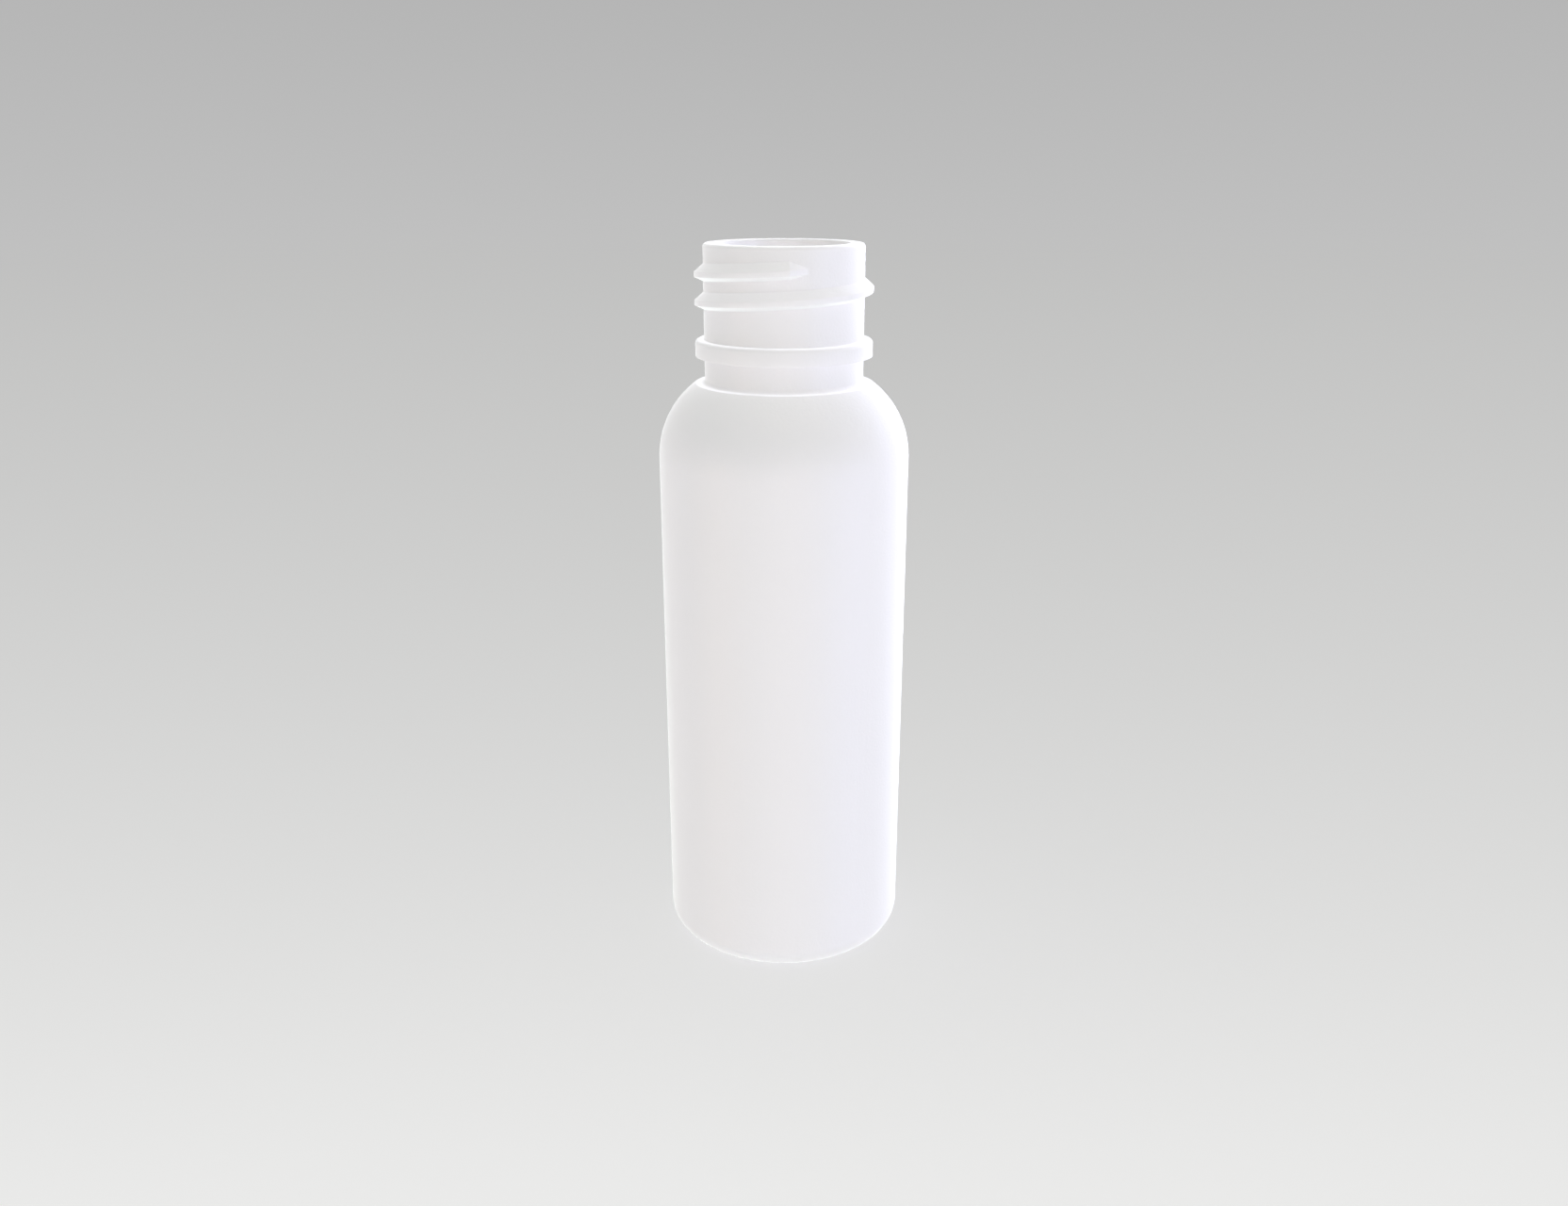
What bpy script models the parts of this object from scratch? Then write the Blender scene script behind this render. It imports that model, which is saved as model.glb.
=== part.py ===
"""White cosmetic bottle of the 30 to 35 ml class, standing open, with a threaded 20 mm neck.

The bottle is one hollow moulding. A turned wall gives the foot, heel, straight body,
round shoulder, neck, bead, rim and bore, and the thread stands out of the neck's wall.
Metres, +Z up. The origin is the centre of the foot, and the front faces -Y.
"""
import math

import bmesh
import bpy
from mathutils import Vector

# Body: straight, with a round heel and a round shoulder
OVERALL_HEIGHT = 0.0835
BODY_DIAMETER = 0.02865
BODY_WALL = 0.0009
HEEL_RADIUS = 0.00255
SHOULDER_HEIGHT = 0.00842

# Foot: a flat standing ring round a shallow push-up
STANDING_RING_WIDTH = 0.0016
PUSH_UP_HEIGHT = 0.001
FLOOR_WALL = 0.0011

# Neck, from its bore outwards. Drops are measured down from the rim, or from the land.
BORE_DIAMETER = 0.0146
BORE_EDGE_RADIUS = 0.00015
BORE_FOOT_DROP = 0.0004
BORE_FOOT_RADIUS = 0.0015
NECK_WALL = 0.00165
RIM_EDGE_RADIUS = 0.0004
BEAD_DROP = 0.0104
BEAD_DEPTH = 0.001
BEAD_HEIGHT = 0.00185
BEAD_EDGE_RADIUS = 0.0004
UNDER_BEAD_HEIGHT = 0.003
NECK_ROOT_RADIUS = 0.00045
LAND_WIDTH = 0.0011

# Thread: right-hand, single start, steeper below, its upper tip just right of the front
THREAD_DEPTH = 0.001
THREAD_PITCH = 0.00304
THREAD_TURNS = 1.5
THREAD_DROP = 0.00248
THREAD_CREST_WIDTH = 0.00058
THREAD_UPPER_FLANK_HEIGHT = 0.00087
THREAD_LOWER_FLANK_HEIGHT = 0.00044
THREAD_TIP_ANGLE = math.radians(-73.0)
THREAD_RUN_OUT_ANGLE = math.radians(13.5)

# Facets
SIDES = 64
SMALL_ROUND_STEPS = 3
HEEL_STEPS = 5
SHOULDER_STEPS = 8
FLOOR_STEPS = 3
SHARP_EDGE_ANGLE = math.radians(32.0)
JOIN_GAP = 0.000001

PLASTIC_COLOUR = (0.86, 0.86, 0.87, 1.0)
PLASTIC_ROUGHNESS = 0.38

# Radii and heights that follow from the sizes
BORE_RADIUS = BORE_DIAMETER / 2
NECK_RADIUS = BORE_RADIUS + NECK_WALL
BEAD_RADIUS = NECK_RADIUS + BEAD_DEPTH
LAND_RADIUS = NECK_RADIUS + LAND_WIDTH
BODY_RADIUS = BODY_DIAMETER / 2
INNER_RADIUS = BODY_RADIUS - BODY_WALL
RING_OUTER_RADIUS = BODY_RADIUS - HEEL_RADIUS
RING_INNER_RADIUS = RING_OUTER_RADIUS - STANDING_RING_WIDTH
BEAD_TOP = OVERALL_HEIGHT - BEAD_DROP
BEAD_BOTTOM = BEAD_TOP - BEAD_HEIGHT
LAND_HEIGHT = BEAD_BOTTOM - UNDER_BEAD_HEIGHT
BODY_TOP = LAND_HEIGHT - SHOULDER_HEIGHT
SIDE_ANGLE = 2 * math.pi / SIDES


def arc(centre, radius, start, end, steps):
    """Points of a circular arc in the plane of the wall's section, both ends included."""
    points = []
    for step in range(steps + 1):
        angle = start + (end - start) * step / steps
        points.append(centre + radius * Vector((math.cos(angle), math.sin(angle))))
    return points


def rounded(before, corner, after, radius):
    """The corner between two straight runs, rounded to a radius."""
    back = (before - corner).normalized()
    ahead = (after - corner).normalized()
    half_angle = back.angle(ahead) / 2
    centre = corner + (back + ahead).normalized() * radius / math.sin(half_angle)
    reach = radius / math.tan(half_angle)
    first = corner + back * reach - centre
    last = corner + ahead * reach - centre
    start = math.atan2(first.y, first.x)
    clockwise_turn = first.angle_signed(last)
    return arc(centre, radius, start, start - clockwise_turn, SMALL_ROUND_STEPS)


def shoulder_circle(wall_radius, top_radius, top_height):
    """Centre and radius of the circle that leaves the upright wall and ends at the top point."""
    inset = wall_radius - top_radius
    rise = top_height - BODY_TOP
    radius = (inset ** 2 + rise ** 2) / (2 * inset)
    return Vector((wall_radius - radius, BODY_TOP)), radius


def push_up(rim_height):
    """The shallow dome inside the standing ring, from the axis out to its rim."""
    radius = (RING_INNER_RADIUS ** 2 + PUSH_UP_HEIGHT ** 2) / (2 * PUSH_UP_HEIGHT)
    centre = Vector((0, rim_height + PUSH_UP_HEIGHT - radius))
    rim_angle = math.acos(RING_INNER_RADIUS / radius)
    points = arc(centre, radius, math.pi / 2, rim_angle, FLOOR_STEPS)
    points[0].x = 0
    return points


def foot_profile():
    """Push-up, standing ring and heel, from the axis out to the body."""
    heel_centre = Vector((RING_OUTER_RADIUS, HEEL_RADIUS))
    return push_up(0) + arc(heel_centre, HEEL_RADIUS, -math.pi / 2, 0, HEEL_STEPS)


def shoulder_profile():
    """Shoulder arc, from the top of the straight body up to the land round the neck."""
    centre, radius = shoulder_circle(BODY_RADIUS, LAND_RADIUS, LAND_HEIGHT)
    end = math.asin(SHOULDER_HEIGHT / radius)
    return arc(centre, radius, 0, end, SHOULDER_STEPS)


def lower_neck_profile():
    """Land, neck root and bead, from the shoulder up to the foot of the threaded wall."""
    land_edge = Vector((LAND_RADIUS, LAND_HEIGHT))
    neck_root = Vector((NECK_RADIUS, LAND_HEIGHT))
    under_bead = Vector((NECK_RADIUS, BEAD_BOTTOM))
    lower_edge = Vector((BEAD_RADIUS, BEAD_BOTTOM))
    upper_edge = Vector((BEAD_RADIUS, BEAD_TOP))
    over_bead = Vector((NECK_RADIUS, BEAD_TOP))
    points = rounded(land_edge, neck_root, under_bead, NECK_ROOT_RADIUS)
    points += [under_bead, lower_edge]
    points += rounded(lower_edge, upper_edge, over_bead, BEAD_EDGE_RADIUS)
    return points + [over_bead]


def rim_profile():
    """Rounded rim, sealing land and the bore's edge."""
    over_bead = Vector((NECK_RADIUS, BEAD_TOP))
    rim_edge = Vector((NECK_RADIUS, OVERALL_HEIGHT))
    bore_edge = Vector((BORE_RADIUS, OVERALL_HEIGHT))
    bore_foot = Vector((BORE_RADIUS, LAND_HEIGHT))
    points = rounded(over_bead, rim_edge, bore_edge, RIM_EDGE_RADIUS)
    return points + rounded(rim_edge, bore_edge, bore_foot, BORE_EDGE_RADIUS)


def inside_profile():
    """Round foot of the bore, inner shoulder, inner wall and floor, down to the axis."""
    centre, radius = shoulder_circle(INNER_RADIUS, BORE_RADIUS, LAND_HEIGHT - BORE_FOOT_DROP)
    across = BORE_RADIUS + BORE_FOOT_RADIUS - centre.x
    up = math.sqrt((radius + BORE_FOOT_RADIUS) ** 2 - across ** 2)
    foot_centre = centre + Vector((across, up))
    meeting_angle = math.atan2(up, across)
    points = arc(foot_centre, BORE_FOOT_RADIUS, math.pi, math.pi + meeting_angle, SMALL_ROUND_STEPS)
    points += arc(centre, radius, meeting_angle, 0, SHOULDER_STEPS)[1:]

    heel_radius = HEEL_RADIUS - BODY_WALL
    heel_centre = Vector((INNER_RADIUS - heel_radius, FLOOR_WALL + heel_radius))
    points += arc(heel_centre, heel_radius, 0, -math.pi / 2, HEEL_STEPS)
    return points + push_up(FLOOR_WALL)[::-1]


def add_turned_wall(shell, profile):
    """Spin a stretch of the wall's section round the bottle's axis."""
    vertices = [shell.verts.new((point.x, 0, point.y)) for point in profile]
    edges = [shell.edges.new(pair) for pair in zip(vertices, vertices[1:])]
    bmesh.ops.spin(shell, geom=vertices + edges, axis=(0, 0, 1), cent=(0, 0, 0),
                   angle=2 * math.pi, steps=SIDES, use_merge=True)


def vertex_at_side(shell, side, radius, height):
    """A vertex on one of the upright lines between the wall's facets."""
    angle = side * SIDE_ANGLE
    return shell.verts.new((radius * math.cos(angle), radius * math.sin(angle), height))


def thread_station(shell, wound, last, side):
    """Upper root, crest edges and lower root of the thread, some sides on from its tip."""
    from_end = min(wound, last - wound) * SIDE_ANGLE
    depth_share = min(1, from_end / THREAD_RUN_OUT_ANGLE)
    middle = OVERALL_HEIGHT - THREAD_DROP - THREAD_PITCH * wound / SIDES
    crest_top = middle + THREAD_CREST_WIDTH / 2
    crest_bottom = middle - THREAD_CREST_WIDTH / 2
    if depth_share == 0:
        upper = vertex_at_side(shell, side, NECK_RADIUS, crest_top)
        lower = vertex_at_side(shell, side, NECK_RADIUS, crest_bottom)
        return [upper, upper, lower, lower]
    crest_radius = NECK_RADIUS + THREAD_DEPTH * depth_share
    root_top = crest_top + THREAD_UPPER_FLANK_HEIGHT * depth_share
    root_bottom = crest_bottom - THREAD_LOWER_FLANK_HEIGHT * depth_share
    corners = [(NECK_RADIUS, root_top), (crest_radius, crest_top),
               (crest_radius, crest_bottom), (NECK_RADIUS, root_bottom)]
    return [vertex_at_side(shell, side, radius, height) for radius, height in corners]


def add_wall_face(shell, near_line, far_line, upper, lower):
    """One facet of neck wall between two upright lines, from one pair of vertices to another."""
    near = near_line[near_line.index(upper[0]):near_line.index(lower[0]) + 1]
    far = far_line[far_line.index(upper[1]):far_line.index(lower[1]) + 1]
    shell.faces.new(near + far[::-1])


def add_thread_faces(shell, near, far):
    """Upper flank, crest and lower flank between two stations, as triangles at a tip."""
    for row in range(len(near) - 1):
        corners = [near[row], near[row + 1], far[row + 1], far[row]]
        shell.faces.new(dict.fromkeys(corners))


def add_threaded_wall(shell):
    """Neck wall from the bead to the rim, with the thread winding down round it.

    The upright lines between facets are numbered from the thread's upper tip, the way it
    winds. Each holds its vertices from the rim down, so the thread's rows and the wall
    between its turns meet vertex to vertex.
    """
    tip_side = round(THREAD_TIP_ANGLE / SIDE_ANGLE)
    last = round(THREAD_TURNS * SIDES)
    wall_top = OVERALL_HEIGHT - RIM_EDGE_RADIUS
    lines = [[vertex_at_side(shell, tip_side - number, NECK_RADIUS, wall_top)] for number in range(SIDES)]
    stations = []
    for wound in range(last + 1):
        station = thread_station(shell, wound, last, tip_side - wound)
        stations.append(station)
        lines[wound % SIDES] += dict.fromkeys(station)
    for number, line in enumerate(lines):
        line.append(vertex_at_side(shell, tip_side - number, NECK_RADIUS, BEAD_TOP))

    for number, near_line in enumerate(lines):
        far_line = lines[(number + 1) % SIDES]
        upper = (near_line[0], far_line[0])
        for wound in range(number, last, SIDES):
            near, far = stations[wound], stations[wound + 1]
            add_wall_face(shell, near_line, far_line, upper, (near[0], far[0]))
            add_thread_faces(shell, near, far)
            upper = (near[-1], far[-1])
        add_wall_face(shell, near_line, far_line, upper, (near_line[-1], far_line[-1]))


def white_plastic():
    """Opaque white bottle plastic with a soft shine."""
    material = bpy.data.materials.new("white_plastic")
    material.use_nodes = True
    shader = material.node_tree.nodes["Principled BSDF"]
    shader.inputs["Base Color"].default_value = PLASTIC_COLOUR
    shader.inputs["Roughness"].default_value = PLASTIC_ROUGHNESS
    shader.inputs["Metallic"].default_value = 0
    material.diffuse_color = PLASTIC_COLOUR
    return material


def build_bottle():
    """The one moulding: turned walls below and above, and the threaded wall between them."""
    shell = bmesh.new()
    add_turned_wall(shell, foot_profile() + shoulder_profile() + lower_neck_profile())
    add_threaded_wall(shell)
    add_turned_wall(shell, rim_profile() + inside_profile())
    bmesh.ops.remove_doubles(shell, verts=shell.verts, dist=JOIN_GAP)
    bmesh.ops.recalc_face_normals(shell, faces=shell.faces)
    mesh = bpy.data.meshes.new("bottle")
    shell.to_mesh(mesh)
    shell.free()
    mesh.shade_smooth()
    mesh.set_sharp_from_angle(angle=SHARP_EDGE_ANGLE)
    mesh.materials.append(white_plastic())
    bottle = bpy.data.objects.new("bottle", mesh)
    bpy.context.scene.collection.objects.link(bottle)


for old in list(bpy.data.objects):
    bpy.data.objects.remove(old, do_unlink=True)
build_bottle()
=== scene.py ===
"""White cosmetic bottle, standing open on a pale floor: the looks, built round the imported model."""
import math

import bmesh
import bpy
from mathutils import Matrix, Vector


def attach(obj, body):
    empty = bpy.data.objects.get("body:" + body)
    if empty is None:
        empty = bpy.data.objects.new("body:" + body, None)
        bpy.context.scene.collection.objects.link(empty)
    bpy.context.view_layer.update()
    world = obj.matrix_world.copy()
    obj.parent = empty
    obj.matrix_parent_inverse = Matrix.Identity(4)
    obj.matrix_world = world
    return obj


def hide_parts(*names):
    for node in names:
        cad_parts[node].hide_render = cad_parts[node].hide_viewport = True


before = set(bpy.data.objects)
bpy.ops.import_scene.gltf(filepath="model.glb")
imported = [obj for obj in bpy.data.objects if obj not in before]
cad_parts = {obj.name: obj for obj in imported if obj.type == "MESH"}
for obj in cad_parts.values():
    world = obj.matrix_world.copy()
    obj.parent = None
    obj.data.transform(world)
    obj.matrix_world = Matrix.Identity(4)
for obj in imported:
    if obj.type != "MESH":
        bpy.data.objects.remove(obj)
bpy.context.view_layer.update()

# BOTTLE
# One hollow moulding of high-density polyethylene, coloured through with white pigment. The neck
# with its bead and thread is injected, and the body is then blown out from under it against a
# mould in two halves.

# The wall is drawn as a section of radii and heights in metres, from the axis and from the foot.
HEIGHT = 0.0835
FINE_ROUND_STEPS = 4
BROAD_ROUND_STEPS = 6


def arc(centre, radius, start, end, steps):
    """Points of a circular arc in the plane of the wall's section, both ends included."""
    angles = [start + (end - start) * step / steps for step in range(steps + 1)]
    return [centre + radius * Vector((math.cos(angle), math.sin(angle))) for angle in angles]


def rounded(before, corner, after, radius, steps):
    """The corner between two straight runs of the section, rounded to a radius."""
    back = (before - corner).normalized()
    ahead = (after - corner).normalized()
    half_angle = back.angle(ahead) / 2
    centre = corner + (back + ahead).normalized() * radius / math.sin(half_angle)
    reach = radius / math.tan(half_angle)
    first = corner + back * reach - centre
    last = corner + ahead * reach - centre
    start = math.atan2(first.y, first.x)
    return arc(centre, radius, start, start - first.angle_signed(last), steps)


def rounded_run(corners, rounds):
    """The corners between the first and the last, each rounded to its own radius and steps."""
    corners = [Vector(corner) for corner in corners]
    points = []
    for before, corner, after, (radius, steps) in zip(corners, corners[1:], corners[2:], rounds):
        points += rounded(before, corner, after, radius, steps)
    return points


# Foot: a standing ring round a shallow push-up, with the mark of the cut gate in its middle.
BODY_RADIUS = 0.014325
HEEL_RADIUS = 0.00255
HEEL_STEPS = 16
STANDING_RING_WIDTH = 0.0016
RING_OUTER_RADIUS = BODY_RADIUS - HEEL_RADIUS
RING_INNER_RADIUS = RING_OUTER_RADIUS - STANDING_RING_WIDTH
RING_EDGE_RADIUS = 0.0003
RING_EDGE_STEPS = 3
PUSH_UP_HEIGHT = 0.001
PUSH_UP_START_RADIUS = 0.0018
PUSH_UP_STEPS = 12
GATE_MARK_RADIUS = 0.0012
GATE_MARK_DEPTH = 0.00012
GATE_MARK_SLOPE = 0.00014


def push_up(rim_height, edge_radius):
    """The shallow dome inside the standing ring, from near the axis out to its edge radius."""
    radius = (RING_INNER_RADIUS ** 2 + PUSH_UP_HEIGHT ** 2) / (2 * PUSH_UP_HEIGHT)
    centre = Vector((0, rim_height + PUSH_UP_HEIGHT - radius))
    start = math.acos(PUSH_UP_START_RADIUS / radius)
    rim = math.acos((RING_INNER_RADIUS - edge_radius) / radius)
    return arc(centre, radius, start, rim, PUSH_UP_STEPS)


def gate_mark(push_up_start):
    """The shallow round dish that the cut gate leaves in the middle of the push-up."""
    dish_height = push_up_start.y + GATE_MARK_DEPTH
    slope_height = push_up_start.y + GATE_MARK_DEPTH / 2
    return [Vector((0, dish_height)),
            Vector((GATE_MARK_RADIUS - GATE_MARK_SLOPE, dish_height)),
            Vector((GATE_MARK_RADIUS, slope_height))]


def foot():
    """Section of the outside, from the middle of the gate's mark to the top of the heel."""
    dome = push_up(0, RING_EDGE_RADIUS)
    corners = [dome[-1], (RING_INNER_RADIUS, 0), (RING_OUTER_RADIUS, 0)]
    ring_edge = rounded_run(corners, [(RING_EDGE_RADIUS, RING_EDGE_STEPS)])
    heel_centre = Vector((RING_OUTER_RADIUS, HEEL_RADIUS))
    heel = arc(heel_centre, HEEL_RADIUS, -math.pi / 2, 0, HEEL_STEPS)
    return gate_mark(dome[0]) + dome + ring_edge + heel


# Shoulder, the narrow land on top of it, and the neck with its bead.
SHOULDER_HEIGHT = 0.00842
SHOULDER_STEPS = 40
LAND_RADIUS = 0.01005
LAND_HEIGHT = 0.06825
LAND_EDGE_RADIUS = 0.0002
BODY_TOP = LAND_HEIGHT - SHOULDER_HEIGHT
NECK_RADIUS = 0.00895
NECK_ROOT_RADIUS = 0.00045
BEAD_RADIUS = 0.00995
BEAD_TOP = 0.0731
BEAD_BOTTOM = 0.07125
BEAD_ROOT_RADIUS = 0.00014
BEAD_LOWER_EDGE_RADIUS = 0.00007
BEAD_UPPER_EDGE_RADIUS = 0.0004


def shoulder_circle(wall_radius, top_radius, top_height):
    """Centre and radius of the circle that leaves the upright wall and ends at the top point."""
    inset = wall_radius - top_radius
    rise = top_height - BODY_TOP
    radius = (inset ** 2 + rise ** 2) / (2 * inset)
    return Vector((wall_radius - radius, BODY_TOP)), radius


def shoulder_and_bead():
    """Section of the outside, from the top of the straight body to the wall over the bead."""
    centre, radius = shoulder_circle(BODY_RADIUS, LAND_RADIUS, LAND_HEIGHT)
    shoulder = arc(centre, radius, 0, math.asin(SHOULDER_HEIGHT / radius), SHOULDER_STEPS)[:-1]
    corners = [shoulder[-1], (LAND_RADIUS, LAND_HEIGHT), (NECK_RADIUS, LAND_HEIGHT),
               (NECK_RADIUS, BEAD_BOTTOM), (BEAD_RADIUS, BEAD_BOTTOM), (BEAD_RADIUS, BEAD_TOP),
               (NECK_RADIUS, BEAD_TOP), (NECK_RADIUS, HEIGHT)]
    rounds = [(LAND_EDGE_RADIUS, FINE_ROUND_STEPS), (NECK_ROOT_RADIUS, BROAD_ROUND_STEPS),
              (BEAD_ROOT_RADIUS, FINE_ROUND_STEPS), (BEAD_LOWER_EDGE_RADIUS, FINE_ROUND_STEPS),
              (BEAD_UPPER_EDGE_RADIUS, BROAD_ROUND_STEPS), (BEAD_ROOT_RADIUS, FINE_ROUND_STEPS)]
    return shoulder + rounded_run(corners, rounds)


# Rim, bore and hollow: the wall is thick in the injected neck and thin in the blown body.
RIM_EDGE_RADIUS = 0.0004
BORE_RADIUS = 0.0073
BORE_EDGE_RADIUS = 0.00015
BORE_FOOT_DROP = 0.0004
BORE_FOOT_RADIUS = 0.0015
BORE_FOOT_STEPS = 8
BODY_WALL = 0.0009
INNER_RADIUS = BODY_RADIUS - BODY_WALL
INNER_SHOULDER_STEPS = 24
INNER_HEEL_STEPS = 12
FLOOR_WALL = 0.0011


def rim():
    """Section of the rounded rim and the flat sealing land, as far as the bore's edge."""
    corners = [(NECK_RADIUS, BEAD_TOP), (NECK_RADIUS, HEIGHT), (BORE_RADIUS, HEIGHT),
               (BORE_RADIUS, LAND_HEIGHT)]
    rounds = [(RIM_EDGE_RADIUS, BROAD_ROUND_STEPS), (BORE_EDGE_RADIUS, FINE_ROUND_STEPS)]
    return rounded_run(corners, rounds)


def hollow():
    """Section of the inside, from the foot of the bore down to the middle of the floor."""
    centre, radius = shoulder_circle(INNER_RADIUS, BORE_RADIUS, LAND_HEIGHT - BORE_FOOT_DROP)
    across = BORE_RADIUS + BORE_FOOT_RADIUS - centre.x
    up = math.sqrt((radius + BORE_FOOT_RADIUS) ** 2 - across ** 2)
    meeting = math.atan2(up, across)
    bore_foot_centre = centre + Vector((across, up))
    heel_radius = HEEL_RADIUS - BODY_WALL
    heel_centre = Vector((INNER_RADIUS - heel_radius, FLOOR_WALL + heel_radius))
    points = arc(bore_foot_centre, BORE_FOOT_RADIUS, math.pi, math.pi + meeting, BORE_FOOT_STEPS)
    points += arc(centre, radius, meeting, 0, INNER_SHOULDER_STEPS)[1:]
    points += arc(heel_centre, heel_radius, 0, -math.pi / 2, INNER_HEEL_STEPS)
    return points + push_up(FLOOR_WALL, 0)[::-1] + [Vector((0, FLOOR_WALL + PUSH_UP_HEIGHT))]


# Thread: right-hand, single start, one and a half turns, its lower flank squarer to the wall than
# its upper one. Degrees along it are counted from its upper tip, the way it winds.
THREAD_DEPTH = 0.001
THREAD_PITCH = 0.00304
THREAD_DROP = 0.00248
THREAD_CREST_WIDTH = 0.00058
THREAD_CREST_RADIUS = 0.00009
THREAD_CREST_STEPS = 3
THREAD_UPPER_FLANK_HEIGHT = 0.00087
THREAD_LOWER_FLANK_HEIGHT = 0.00044
THREAD_ROOT_RADIUS = 0.00014
THREAD_TIP_AZIMUTH = -73.0
THREAD_DEGREES = 540.0
THREAD_RUN_OUT_DEGREES = 13.5
THREAD_LEAST_SHARE = 0.001


def thread_section(degrees_from_tip):
    """Section of the thread from its upper to its lower root, or the two ends of its tip."""
    from_end = min(degrees_from_tip, THREAD_DEGREES - degrees_from_tip)
    share = min(1, from_end / THREAD_RUN_OUT_DEGREES)
    middle = HEIGHT - THREAD_DROP - THREAD_PITCH * degrees_from_tip / 360
    crest_top = Vector((NECK_RADIUS + THREAD_DEPTH * share, middle + THREAD_CREST_WIDTH / 2))
    crest_bottom = Vector((crest_top.x, middle - THREAD_CREST_WIDTH / 2))
    if share < THREAD_LEAST_SHARE:
        return [crest_top, crest_bottom]
    root_top = (NECK_RADIUS, crest_top.y + THREAD_UPPER_FLANK_HEIGHT * share)
    root_bottom = (NECK_RADIUS, crest_bottom.y - THREAD_LOWER_FLANK_HEIGHT * share)
    corners = [(NECK_RADIUS, HEIGHT), root_top, crest_top,
               crest_bottom, root_bottom, (NECK_RADIUS, BEAD_TOP)]
    root_round = (THREAD_ROOT_RADIUS * share, FINE_ROUND_STEPS)
    crest_round = (THREAD_CREST_RADIUS * share, THREAD_CREST_STEPS)
    return rounded_run(corners, [root_round, crest_round, crest_round, root_round])


# The sections stand on upright lines round the axis. Some of these lie where the thread starts to
# run out, and three at each side where the mould's halves left a hair-fine sunken line.
LINES_ROUND = 256
PARTING_AZIMUTHS = (0.0, 180.0)
PARTING_LINE_DEPTH = 0.00002
PARTING_LINE_HALF_DEGREES = 0.25
PARTING_DEGREES = [(THREAD_TIP_AZIMUTH - azimuth) % 360 for azimuth in PARTING_AZIMUTHS]
RUN_OUT_DEGREES = [THREAD_RUN_OUT_DEGREES, (THREAD_DEGREES - THREAD_RUN_OUT_DEGREES) % 360]


def upright_lines():
    """Degrees from the thread's tip, the way it winds, of each upright line of the mesh."""
    wanted = list(RUN_OUT_DEGREES)
    for middle in PARTING_DEGREES:
        wanted += [middle - PARTING_LINE_HALF_DEGREES, middle, middle + PARTING_LINE_HALF_DEGREES]
    spacing = 360 / LINES_ROUND
    even = [number * spacing for number in range(LINES_ROUND)]
    clear = [line for line in even if all(abs(line - other) > spacing / 2 for other in wanted)]
    return sorted(clear + wanted)


LINE_DEGREES = upright_lines()


def vertices_up_line(shell, degrees, section, outside=True):
    """The section's points as vertices on one upright line, set back where the mould parts."""
    azimuth = math.radians(THREAD_TIP_AZIMUTH - degrees)
    parted = outside and degrees in PARTING_DEGREES
    vertices = []
    for point in section:
        under_push_up = point.x <= RING_INNER_RADIUS and point.y <= BODY_TOP
        radius = point.x - PARTING_LINE_DEPTH if parted and not under_push_up else point.x
        place = (radius * math.cos(azimuth), radius * math.sin(azimuth), point.y)
        vertices.append(shell.verts.new(place))
    return vertices


# Faces are joined up line by line, outside and inside, as the plastic's two skins differ.
OUTSIDE, INSIDE = 0, 1
JOIN_GAP = 0.0000002
SHARP_BEND = math.radians(35)


def join_runs(shell, near, far, skin):
    """Faces between two neighbouring runs of vertices, row by row."""
    for row in range(len(near) - 1):
        corners = dict.fromkeys([near[row], near[row + 1], far[row + 1], far[row]])
        shell.faces.new(corners).material_index = skin


def join_wall(shell, near_line, far_line, upper, lower):
    """One face of plain neck wall between two upright lines, round any thread tip on them."""
    near = near_line[near_line.index(upper[0]):near_line.index(lower[0]) + 1]
    far = far_line[far_line.index(upper[1]):far_line.index(lower[1]) + 1]
    shell.faces.new(near + far[::-1])


def threaded_wall(shell, wall_top, wall_foot):
    """Neck wall from the rim down to the bead, with the thread winding down round it.

    Gives the two runs of vertices at which the full thread bends sharply and starts to run out.
    """
    lines = [[top] for top in wall_top]
    half_rows = len(thread_section(THREAD_DEGREES / 2)) // 2
    thread = []
    last = LINE_DEGREES.index(THREAD_DEGREES % 360) + len(lines)
    for station in range(last + 1):
        turn, number = divmod(station, len(lines))
        section = thread_section(LINE_DEGREES[number] + 360 * turn)
        vertices = vertices_up_line(shell, LINE_DEGREES[number], section)
        lines[number] += vertices
        if len(vertices) == 2:
            upper, lower = vertices
            vertices = [upper] * half_rows + [lower] * half_rows
        thread.append(vertices)
    for line, foot_vertex in zip(lines, wall_foot):
        line.append(foot_vertex)
    for number, near_line in enumerate(lines):
        far_line = lines[(number + 1) % len(lines)]
        upper = (near_line[0], far_line[0])
        for station in range(number, last, len(lines)):
            near, far = thread[station], thread[station + 1]
            join_wall(shell, near_line, far_line, upper, (near[0], far[0]))
            join_runs(shell, near, far, OUTSIDE)
            upper = (near[-1], far[-1])
        join_wall(shell, near_line, far_line, upper, (near_line[-1], far_line[-1]))
    upper_end, lower_end = [LINE_DEGREES.index(degrees) for degrees in RUN_OUT_DEGREES]
    return thread[upper_end], thread[lower_end + len(lines)]


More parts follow.
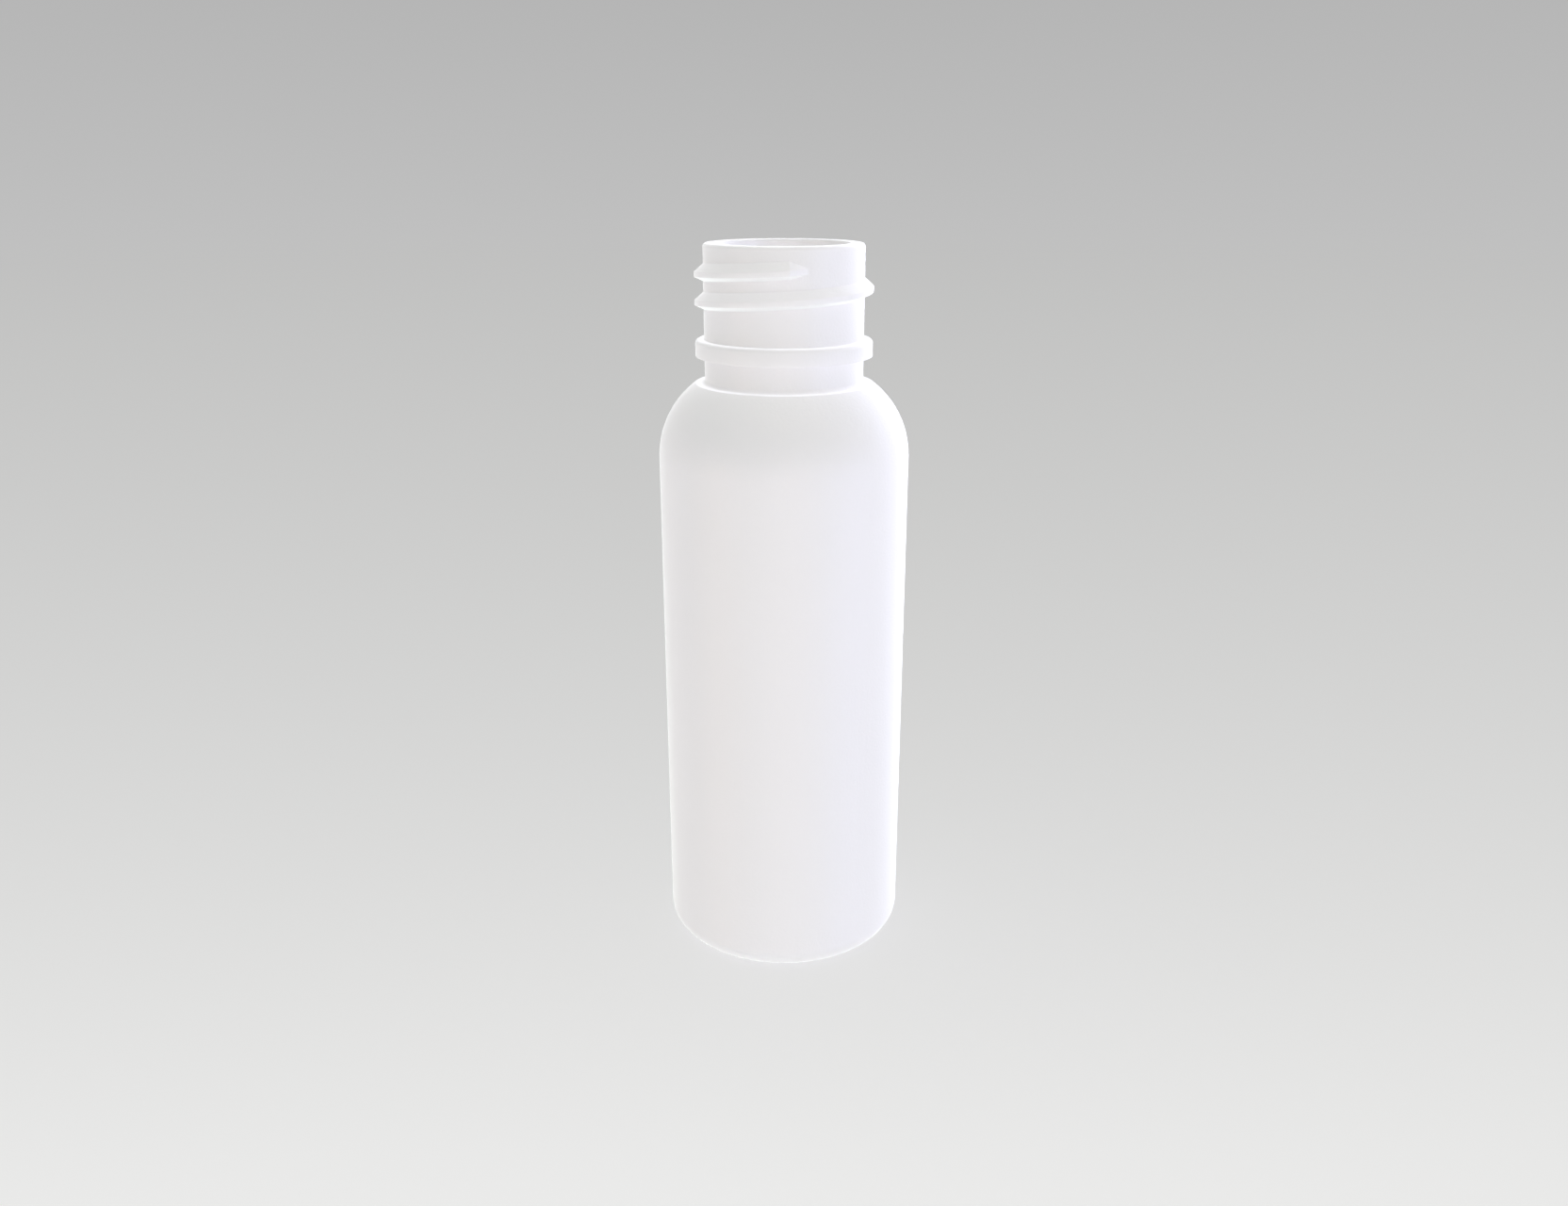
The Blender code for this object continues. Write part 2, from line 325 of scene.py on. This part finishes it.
outside_below, outside_over, inside = foot() + shoulder_and_bead(), rim(), hollow()
shell = bmesh.new()
below = [vertices_up_line(shell, degrees, outside_below) for degrees in LINE_DEGREES]
over = [vertices_up_line(shell, degrees, outside_over) for degrees in LINE_DEGREES]
within = [vertices_up_line(shell, degrees, inside, outside=False) for degrees in LINE_DEGREES]
run_outs = threaded_wall(shell, [line[0] for line in over], [line[-1] for line in below])
for number in range(len(LINE_DEGREES)):
    following = (number + 1) % len(LINE_DEGREES)
    join_runs(shell, below[number], below[following], OUTSIDE)
    join_runs(shell, over[number], over[following], OUTSIDE)
    near, far = [over[line][-1:] + within[line] for line in (number, following)]
    join_runs(shell, near, far, INSIDE)
bmesh.ops.remove_doubles(shell, verts=shell.verts, dist=JOIN_GAP)
bmesh.ops.recalc_face_normals(shell, faces=shell.faces)
for face in shell.faces:
    face.smooth = True
for edge in shell.edges:
    edge.smooth = edge.calc_face_angle(0) < SHARP_BEND
for run_out in run_outs:
    for upper, lower in zip(run_out, run_out[1:]):
        shell.edges.get((upper, lower)).smooth = False
bottle_mesh = bpy.data.meshes.new("bottle_wall")
shell.to_mesh(bottle_mesh)
shell.free()

# The plastic has a satin mould grain outside and is smoother inside. Faint draw lines run up both
# skins, from the stretch of the soft preform, and a little light spreads inside the pigment.
GRAIN_WIDTH = 0.0003
GRAIN_DETAIL = 1
DRAW_LINE_WIDTH = 0.0022
DRAW_LINE_DETAIL = 2
DRAW_LINE_LENGTHS = 40
DRAW_LINE_DEPTH = 0.00003
CLOUD_WIDTH = 0.009
CLOUD_DETAIL = 3
WHITES = ((0.852, 0.852, 0.862, 1), (0.868, 0.868, 0.878, 1))
REFRACTIVE_INDEX = 1.54
SPREAD_OF_EACH_COLOUR = (1, 1, 1)
SKINS = {  # depth of the grain, range of roughness, share of light that enters, how far it gets
    "outside": (0.000016, (0.36, 0.44), 0.5, 0.001),
    "inside": (0.000004, (0.27, 0.33), 0.65, 0.0016),
}
COLOUR_A, COLOUR_B, MIXED_COLOUR = 6, 7, 2  # the Mix node's sockets that hold colours


def effect(name, inputs, outputs):
    """A new group of shader nodes, with its own node for what is given and for what results."""
    group = bpy.data.node_groups.new(name, "ShaderNodeTree")
    for in_out, sockets in (("INPUT", inputs), ("OUTPUT", outputs)):
        for socket, kind in sockets.items():
            group.interface.new_socket(socket, in_out=in_out, socket_type="NodeSocket" + kind)
    return group, group.nodes.new("NodeGroupInput"), group.nodes.new("NodeGroupOutput")


mould_grain, given, result = effect(
    "mould_grain", {"Place": "Vector", "Depth": "Float"}, {"Height": "Float"})
pits = mould_grain.nodes.new("ShaderNodeTexNoise")
pits.inputs["Scale"].default_value = 1 / GRAIN_WIDTH
pits.inputs["Detail"].default_value = GRAIN_DETAIL
deepened = mould_grain.nodes.new("ShaderNodeMath")
deepened.operation = "MULTIPLY"
mould_grain.links.new(given.outputs["Place"], pits.inputs["Vector"])
mould_grain.links.new(pits.outputs["Fac"], deepened.inputs[0])
mould_grain.links.new(given.outputs["Depth"], deepened.inputs[1])
mould_grain.links.new(deepened.outputs["Value"], result.inputs["Height"])

draw_lines, given, result = effect(
    "draw_lines", {"Place": "Vector", "Depth": "Float"}, {"Height": "Float"})
drawn_up = draw_lines.nodes.new("ShaderNodeVectorMath")
drawn_up.operation = "MULTIPLY"
drawn_up.inputs[1].default_value = (1, 1, 1 / DRAW_LINE_LENGTHS)
ripples = draw_lines.nodes.new("ShaderNodeTexNoise")
ripples.inputs["Scale"].default_value = 1 / DRAW_LINE_WIDTH
ripples.inputs["Detail"].default_value = DRAW_LINE_DETAIL
deepened = draw_lines.nodes.new("ShaderNodeMath")
deepened.operation = "MULTIPLY"
draw_lines.links.new(given.outputs["Place"], drawn_up.inputs[0])
draw_lines.links.new(drawn_up.outputs["Vector"], ripples.inputs["Vector"])
draw_lines.links.new(ripples.outputs["Fac"], deepened.inputs[0])
draw_lines.links.new(given.outputs["Depth"], deepened.inputs[1])
draw_lines.links.new(deepened.outputs["Value"], result.inputs["Height"])

pigment, given, result = effect(
    "pigment", {"Place": "Vector", "Thinner": "Color", "Thicker": "Color"},
    {"Colour": "Color", "Cloud": "Float"})
clouds = pigment.nodes.new("ShaderNodeTexNoise")
clouds.inputs["Scale"].default_value = 1 / CLOUD_WIDTH
clouds.inputs["Detail"].default_value = CLOUD_DETAIL
mixed = pigment.nodes.new("ShaderNodeMix")
mixed.data_type = "RGBA"
pigment.links.new(given.outputs["Place"], clouds.inputs["Vector"])
pigment.links.new(clouds.outputs["Fac"], mixed.inputs["Factor"])
pigment.links.new(given.outputs["Thinner"], mixed.inputs[COLOUR_A])
pigment.links.new(given.outputs["Thicker"], mixed.inputs[COLOUR_B])
pigment.links.new(mixed.outputs[MIXED_COLOUR], result.inputs["Colour"])
pigment.links.new(clouds.outputs["Fac"], result.inputs["Cloud"])

for skin, (grain_depth, roughnesses, light_share, light_reach) in SKINS.items():
    plastic = bpy.data.materials.new("white_plastic_" + skin)
    plastic.use_nodes = True
    nodes, links = plastic.node_tree.nodes, plastic.node_tree.links
    shader = nodes["Principled BSDF"]
    shader.inputs["IOR"].default_value = REFRACTIVE_INDEX
    shader.inputs["Subsurface Weight"].default_value = light_share
    shader.inputs["Subsurface Scale"].default_value = light_reach
    shader.inputs["Subsurface Radius"].default_value = SPREAD_OF_EACH_COLOUR
    place = nodes.new("ShaderNodeTexCoord")
    white = nodes.new("ShaderNodeGroup")
    white.node_tree = pigment
    white.inputs["Thinner"].default_value, white.inputs["Thicker"].default_value = WHITES
    gloss = nodes.new("ShaderNodeMapRange")
    gloss.inputs["To Min"].default_value, gloss.inputs["To Max"].default_value = roughnesses
    grain = nodes.new("ShaderNodeGroup")
    grain.node_tree = mould_grain
    grain.inputs["Depth"].default_value = grain_depth
    lines = nodes.new("ShaderNodeGroup")
    lines.node_tree = draw_lines
    lines.inputs["Depth"].default_value = DRAW_LINE_DEPTH
    relief = nodes.new("ShaderNodeMath")
    bump = nodes.new("ShaderNodeBump")
    bump.inputs["Distance"].default_value = 1  # the heights are in metres already
    for group in (white, grain, lines):
        links.new(place.outputs["Object"], group.inputs["Place"])
    links.new(white.outputs["Colour"], shader.inputs["Base Color"])
    links.new(white.outputs["Cloud"], gloss.inputs["Value"])
    links.new(gloss.outputs["Result"], shader.inputs["Roughness"])
    links.new(grain.outputs["Height"], relief.inputs[0])
    links.new(lines.outputs["Height"], relief.inputs[1])
    links.new(relief.outputs["Value"], bump.inputs["Height"])
    links.new(bump.outputs["Normal"], shader.inputs["Normal"])
    bottle_mesh.materials.append(plastic)

bottle = bpy.data.objects.new("bottle_moulding", bottle_mesh)
bpy.context.scene.collection.objects.link(bottle)
keep_flats = bottle.modifiers.new("flat faces keep their shading", "WEIGHTED_NORMAL")
keep_flats.keep_sharp = True
bottle.visible_glossy = False  # its shine mirrors the soft boxes alone
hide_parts("bottle")
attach(bottle, "root")

# FLOOR
# A plain pale sheet of milky acrylic, with a painted pool of light that runs across it in front of
# the bottle: its colour and painted glow are lightest there and fade away from it. As most of its
# tone is the painted glow, which takes no shadow, the bottle throws only a faint shadow on it.
FLOOR_RADIUS = 2.5
FLOOR_SIDES = 256
# Place, shape, size, rounding, reach and tone of the painted pool of light; no lamp stands under the
# floor.
PAINTED_POOL_PLACE = (0.0, -0.105, 0.0)
PAINTED_POOL_SHAPE = (0.3, 1.0, 0.0)
PAINTED_POOL_SIZE = 0.05
PAINTED_POOL_ROUNDING = 0.025
PAINTED_POOL_REACH = 0.0527
PAINTED_POOL_TONE = 0.0393
FAR_TONE = 0.5803
# Share of the floor's tone that is a painted glow, which no shadow darkens.
PAINTED_GLOW_SHARE = 0.6
FADE_FROM, FADE_TO = 0.6, 2.4

disc = bmesh.new()
bmesh.ops.create_circle(disc, cap_ends=True, radius=FLOOR_RADIUS, segments=FLOOR_SIDES)
floor_mesh = bpy.data.meshes.new("floor")
disc.to_mesh(floor_mesh)
disc.free()
floor = bpy.data.objects.new("floor", floor_mesh)
bpy.context.scene.collection.objects.link(floor)
# The soft boxes already hold the light that comes up from below, so the floor and its painted glow
# add none of their own.
floor.visible_diffuse = False
floor.visible_glossy = False
floor.visible_shadow = False

acrylic = bpy.data.materials.new("milky_acrylic")
acrylic.use_nodes = True
nodes, links = acrylic.node_tree.nodes, acrylic.node_tree.links
nodes.clear()
place = nodes.new("ShaderNodeTexCoord")
from_painted_pool = nodes.new("ShaderNodeVectorMath")
from_painted_pool.operation = "SUBTRACT"
from_painted_pool.inputs[1].default_value = PAINTED_POOL_PLACE
narrowed = nodes.new("ShaderNodeVectorMath")
narrowed.operation = "MULTIPLY"
narrowed.inputs[1].default_value = PAINTED_POOL_SHAPE
distance = nodes.new("ShaderNodeVectorMath")
distance.operation = "LENGTH"
rounded_off = nodes.new("ShaderNodeMath")
rounded_off.operation = "SMOOTH_MAX"
rounded_off.inputs[1].default_value = PAINTED_POOL_SIZE
rounded_off.inputs[2].default_value = PAINTED_POOL_ROUNDING
softened = nodes.new("ShaderNodeMath")
softened.inputs[1].default_value = PAINTED_POOL_REACH
# The painted pool of light, lightest in front of the bottle and fading away from it.
painted_pool = nodes.new("ShaderNodeMath")
painted_pool.operation = "DIVIDE"
painted_pool.inputs[0].default_value = PAINTED_POOL_TONE
tone = nodes.new("ShaderNodeMath")
tone.inputs[1].default_value = FAR_TONE
# The sheet's painted glow, which lights nothing.
painted_glow = nodes.new("ShaderNodeEmission")
matt = nodes.new("ShaderNodeBsdfDiffuse")
# The painted glow mixed with the matt, lit sheet.
glow_and_matt = nodes.new("ShaderNodeMixShader")
glow_and_matt.inputs["Fac"].default_value = 1 - PAINTED_GLOW_SHARE
from_bottle = nodes.new("ShaderNodeVectorMath")
from_bottle.operation = "LENGTH"
fading = nodes.new("ShaderNodeMapRange")
fading.interpolation_type = "SMOOTHSTEP"
fading.inputs["From Min"].default_value = FADE_FROM
fading.inputs["From Max"].default_value = FADE_TO
clear = nodes.new("ShaderNodeBsdfTransparent")
faded = nodes.new("ShaderNodeMixShader")
surface = nodes.new("ShaderNodeOutputMaterial")
links.new(place.outputs["Object"], from_painted_pool.inputs[0])
links.new(place.outputs["Object"], from_bottle.inputs[0])
links.new(from_painted_pool.outputs["Vector"], narrowed.inputs[0])
links.new(narrowed.outputs["Vector"], distance.inputs[0])
links.new(distance.outputs["Value"], rounded_off.inputs[0])
links.new(rounded_off.outputs["Value"], softened.inputs[0])
links.new(softened.outputs["Value"], painted_pool.inputs[1])
links.new(painted_pool.outputs["Value"], tone.inputs[0])
links.new(tone.outputs["Value"], painted_glow.inputs["Color"])
links.new(tone.outputs["Value"], matt.inputs["Color"])
links.new(painted_glow.outputs["Emission"], glow_and_matt.inputs[1])
links.new(matt.outputs["BSDF"], glow_and_matt.inputs[2])
links.new(from_bottle.outputs["Value"], fading.inputs["Value"])
links.new(fading.outputs["Result"], faded.inputs["Fac"])
links.new(glow_and_matt.outputs["Shader"], faded.inputs[1])
links.new(clear.outputs["BSDF"], faded.inputs[2])
links.new(faded.outputs["Shader"], surface.inputs["Surface"])
floor_mesh.materials.append(acrylic)

# LIGHT
# A white studio tent whose soft boxes fade into each other, warm on the left and cool on the
# right. One set of boxes lights the plastic from all round and another shows only as the shine on
# it, while the camera sees a plain grey tent that darkens upwards.
ROOM_BOXES = (  # azimuth (0 in front, 90 on the right), elevation, sharpness, colour
    (0, 0, 0.0, (0.66, 0.66, 0.64)),
    (0, -90, 2.0, (0.47, 0.45, 0.57)),
    (240, 0, 2.0, (0.08, 0.09, 0.07)),
)
MIRRORED_BOXES = (
    (0, 80, 3.0, (3.20, 3.08, 2.89)),
    (180, 20, 3.1, (1.04, 1.04, 1.00)),
    (37, 18, 2.5, (1.38, 1.24, 1.18)),
    (117, 16, 2.85, (4.12, 4.17, 5.27)),
    (0, -16, 10.0, (2.36, 1.68, 1.66)),
    (60, -16, 10.0, (3.25, 3.26, 4.57)),
    (240, -16, 10.0, (0.90, 0.74, 0.76)),
    (300, -16, 10.0, (2.76, 2.04, 1.64)),
    (0, -30, 3.0, (2.43, 2.59, 2.64)),
    (180, -30, 10.0, (1.33, 1.63, 1.53)),
    (209, -83, 2.95, (0.82, 0.79, 0.54)),
)
DARK = (0, 0, 0, 1)
SEEN_HEIGHTS = (-0.05, 0.375)
SEEN_GREYS = (0.529, 0.362)

soft_box, given, result = effect(
    "soft_box", {"Toward": "Vector", "Direction": "Vector", "Sharpness": "Float",
                 "Colour": "Color", "Other Boxes": "Color"}, {"Light": "Color"})
closeness = soft_box.nodes.new("ShaderNodeVectorMath")
closeness.operation = "DOT_PRODUCT"
less_one = soft_box.nodes.new("ShaderNodeMath")
less_one.operation = "SUBTRACT"
less_one.inputs[1].default_value = 1
sharpened = soft_box.nodes.new("ShaderNodeMath")
sharpened.operation = "MULTIPLY"
fade = soft_box.nodes.new("ShaderNodeMath")
fade.operation = "EXPONENT"
coloured = soft_box.nodes.new("ShaderNodeVectorMath")
coloured.operation = "SCALE"
together = soft_box.nodes.new("ShaderNodeVectorMath")
soft_box.links.new(given.outputs["Toward"], closeness.inputs[0])
soft_box.links.new(given.outputs["Direction"], closeness.inputs[1])
soft_box.links.new(closeness.outputs["Value"], less_one.inputs[0])
soft_box.links.new(less_one.outputs["Value"], sharpened.inputs[0])
soft_box.links.new(given.outputs["Sharpness"], sharpened.inputs[1])
soft_box.links.new(sharpened.outputs["Value"], fade.inputs[0])
soft_box.links.new(given.outputs["Colour"], coloured.inputs["Vector"])
soft_box.links.new(fade.outputs["Value"], coloured.inputs["Scale"])
soft_box.links.new(coloured.outputs["Vector"], together.inputs[0])
soft_box.links.new(given.outputs["Other Boxes"], together.inputs[1])
soft_box.links.new(together.outputs["Vector"], result.inputs["Light"])

tent = bpy.data.worlds.new("studio_tent")
bpy.context.scene.world = tent
tent.use_nodes = True
tent.cycles.sampling_method = "NONE"
nodes, links = tent.node_tree.nodes, tent.node_tree.links
nodes.clear()
toward = nodes.new("ShaderNodeTexCoord")


def light_of(boxes):
    """The light of one set of soft boxes, each box adding its own to that of the ones before."""
    light = None
    for azimuth, elevation, sharpness, colour in boxes:
        across, up = math.radians(azimuth), math.radians(elevation)
        box = nodes.new("ShaderNodeGroup")
        box.node_tree = soft_box
        box.inputs["Direction"].default_value = (math.sin(across) * math.cos(up),
                                                 -math.cos(across) * math.cos(up), math.sin(up))
        box.inputs["Sharpness"].default_value = sharpness
        box.inputs["Colour"].default_value = (*colour, 1)
        box.inputs["Other Boxes"].default_value = DARK
        links.new(toward.outputs["Generated"], box.inputs["Toward"])
        if light:
            links.new(light, box.inputs["Other Boxes"])
        light = box.outputs["Light"]
    return light


height = nodes.new("ShaderNodeSeparateXYZ")
grey = nodes.new("ShaderNodeMapRange")
grey.inputs["From Min"].default_value, grey.inputs["From Max"].default_value = SEEN_HEIGHTS
grey.inputs["To Min"].default_value, grey.inputs["To Max"].default_value = SEEN_GREYS
rays = nodes.new("ShaderNodeLightPath")
lighting = nodes.new("ShaderNodeMix")
lighting.data_type = "RGBA"
seen = nodes.new("ShaderNodeMix")
seen.data_type = "RGBA"
tent_light = nodes.new("ShaderNodeBackground")
world_out = nodes.new("ShaderNodeOutputWorld")
links.new(toward.outputs["Generated"], height.inputs["Vector"])
links.new(height.outputs["Z"], grey.inputs["Value"])
links.new(rays.outputs["Is Camera Ray"], seen.inputs["Factor"])
links.new(rays.outputs["Is Glossy Ray"], lighting.inputs["Factor"])
links.new(light_of(ROOM_BOXES), lighting.inputs[COLOUR_A])
links.new(light_of(MIRRORED_BOXES), lighting.inputs[COLOUR_B])
links.new(lighting.outputs[MIXED_COLOUR], seen.inputs[COLOUR_A])
links.new(grey.outputs["Result"], seen.inputs[COLOUR_B])
links.new(seen.outputs[MIXED_COLOUR], tent_light.inputs["Color"])
links.new(tent_light.outputs["Background"], world_out.inputs["Surface"])
bpy.context.scene.view_settings.view_transform = "Standard"

# CAMERA
# At the photograph's viewing angle: a little higher than the rim and close to the bottle, looking
# down at its middle.
CAMERA_ELEVATION = math.radians(18.575)
CAMERA_DISTANCE = 0.15518
SENSOR_WIDTH = 36
LENS = 29.693
NEAREST_SEEN, FARTHEST_SEEN = 0.01, 100

camera_data = bpy.data.cameras.new("camera")
camera_data.sensor_width = SENSOR_WIDTH
camera_data.lens = LENS
camera_data.clip_start = NEAREST_SEEN
camera_data.clip_end = FARTHEST_SEEN
camera = bpy.data.objects.new("camera", camera_data)
bpy.context.scene.collection.objects.link(camera)
back = Vector((0, -math.cos(CAMERA_ELEVATION), math.sin(CAMERA_ELEVATION)))
camera.location = Vector((0, 0, HEIGHT / 2)) + back * CAMERA_DISTANCE
camera.rotation_euler = (-back).to_track_quat("-Z", "Y").to_euler()
bpy.context.scene.camera = camera
